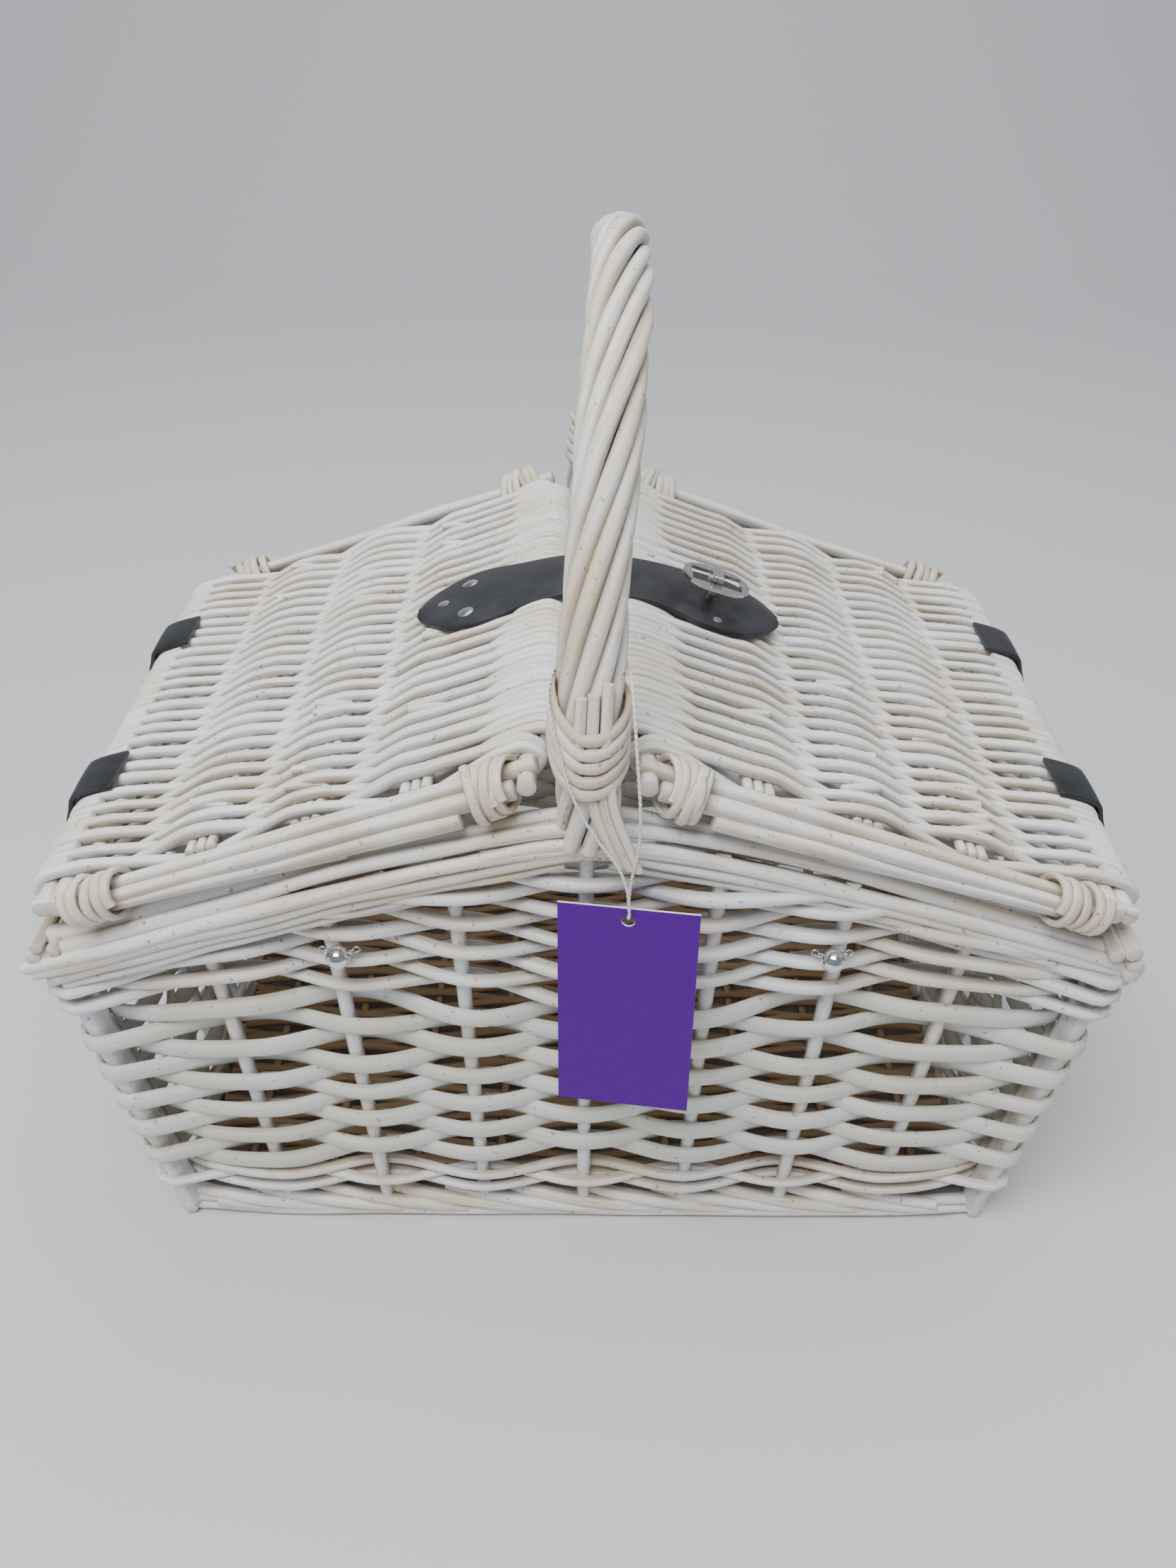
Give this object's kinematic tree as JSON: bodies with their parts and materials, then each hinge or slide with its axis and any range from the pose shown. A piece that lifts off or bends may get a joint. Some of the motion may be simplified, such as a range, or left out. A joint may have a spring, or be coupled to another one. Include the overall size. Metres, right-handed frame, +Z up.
{
  "type": "wicker_picnic_basket",
  "caption": "White-washed willow picnic basket with a gabled top, two hinged lids, a twisted arch handle and a leather strap with a turn lock",
  "frame": {"origin": "middle of the feet, on the surface that the basket stands on", "axes": "+Z up, +X to the right along the basket's long side, -Y the front with the hang tag"},
  "size_m": [0.4198, 0.3025, 0.4037],
  "materials": {
    "whitewashed_willow": "dry white wash over round willow rods, with grey-brown wood showing where it is rubbed",
    "natural_willow": "unpainted brown willow",
    "whitewashed_cane": "flat split cane, white washed",
    "black_leather": "smooth black leather with a soft grain",
    "nickel": "bright nickel plate",
    "chrome": "polished",
    "white_string": "thin twisted cotton string",
    "violet_card": "laminated violet card, plain"
  },
  "bodies": {
    "basket": {"base_weave": "natural_willow", "foot_rail_front": "whitewashed_willow", "foot_rail_back": "whitewashed_willow", "foot_rail_left": "whitewashed_willow", "foot_rail_right": "whitewashed_willow", "corner_post_front_left": "whitewashed_willow", "corner_post_front_right": "whitewashed_willow", "corner_post_back_left": "whitewashed_willow", "corner_post_back_right": "whitewashed_willow", "wall_front": "whitewashed_willow", "wall_back": "whitewashed_willow", "wall_left": "whitewashed_willow", "wall_right": "whitewashed_willow", "rim_front": "whitewashed_willow", "rim_back": "whitewashed_willow", "rim_left": "whitewashed_willow", "rim_right": "whitewashed_willow", "handle_core": "whitewashed_willow", "handle_twist": "whitewashed_willow", "handle_binding_front": "whitewashed_cane", "handle_binding_back": "whitewashed_cane", "hinge_strap_left_front": "black_leather", "hinge_strap_left_back": "black_leather", "hinge_strap_right_front": "black_leather", "hinge_strap_right_back": "black_leather", "chain_ball_left": "chrome", "chain_ball_right": "chrome", "tag_string": "white_string"},
    "lid_left": {"lid_left_weave": "whitewashed_willow", "lid_left_ridge_stick": "whitewashed_willow", "lid_left_outer_sticks": "whitewashed_willow", "lid_left_inner_stick": "whitewashed_willow", "lid_left_front_rod": "whitewashed_willow", "lid_left_back_rod": "whitewashed_willow", "lid_left_front_ridge_binding": "whitewashed_cane", "lid_left_front_corner_binding": "whitewashed_cane", "lid_left_back_ridge_binding": "whitewashed_cane", "lid_left_back_corner_binding": "whitewashed_cane", "strap_anchor": "black_leather", "strap_rivet_1": "nickel", "strap_rivet_2": "nickel", "strap_rivet_3": "nickel"},
    "lid_right": {"lid_right_weave": "whitewashed_willow", "lid_right_ridge_stick": "whitewashed_willow", "lid_right_outer_sticks": "whitewashed_willow", "lid_right_inner_stick": "whitewashed_willow", "lid_right_front_rod": "whitewashed_willow", "lid_right_back_rod": "whitewashed_willow", "lid_right_front_ridge_binding": "whitewashed_cane", "lid_right_front_corner_binding": "whitewashed_cane", "lid_right_back_ridge_binding": "whitewashed_cane", "lid_right_back_corner_binding": "whitewashed_cane", "lock_tab": "black_leather", "lock_tab_rivet": "nickel", "turn_knob_base": "nickel"},
    "strap": {"strap_flap": "black_leather", "eyelet_plate": "nickel"},
    "turn_lock": {"turn_knob": "nickel"},
    "tag": {"hang_tag": "violet_card"}
  },
  "joints": [
    {"name": "lid_right_hinge", "type": "hinge", "parent": "basket", "child": "lid_right", "pos_m": [0.2007, 0, 0.18159], "axis": [0, 1, 0], "range_deg": [0, 95], "deforming": ["hinge_strap_right_front", "hinge_strap_right_back", "strap_flap"]},
    {"name": "lid_left_hinge", "type": "hinge", "parent": "basket", "child": "lid_left", "pos_m": [-0.2007, 0, 0.18159], "axis": [0, -1, 0], "range_deg": [0, 95], "deforming": ["hinge_strap_left_front", "hinge_strap_left_back"]},
    {"name": "strap_fold", "type": "hinge", "parent": "lid_left", "child": "strap", "pos_m": [-0.044, 0.005, 0.25006], "axis": [0, -1, 0], "range_deg": [0, 185.25], "deforming": ["strap_flap"]},
    {"name": "turn_knob_turn", "type": "hinge", "parent": "lid_right", "child": "turn_lock", "pos_m": [0.0495, 0.005, 0.2466], "axis": [0.3154, 0, 0.9489], "range_deg": [0, 90]},
    {"name": "tag_swing", "type": "hinge", "parent": "basket", "child": "tag", "pos_m": [0.0146, -0.129, 0.29], "axis": [-1, 0, 0], "range_deg": [0, 60], "deforming": ["tag_string"]}
  ],
  "couplings": [
    {"joint": "strap_fold", "follows": "lid_right_hinge", "ratio": 1.95}
  ]
}
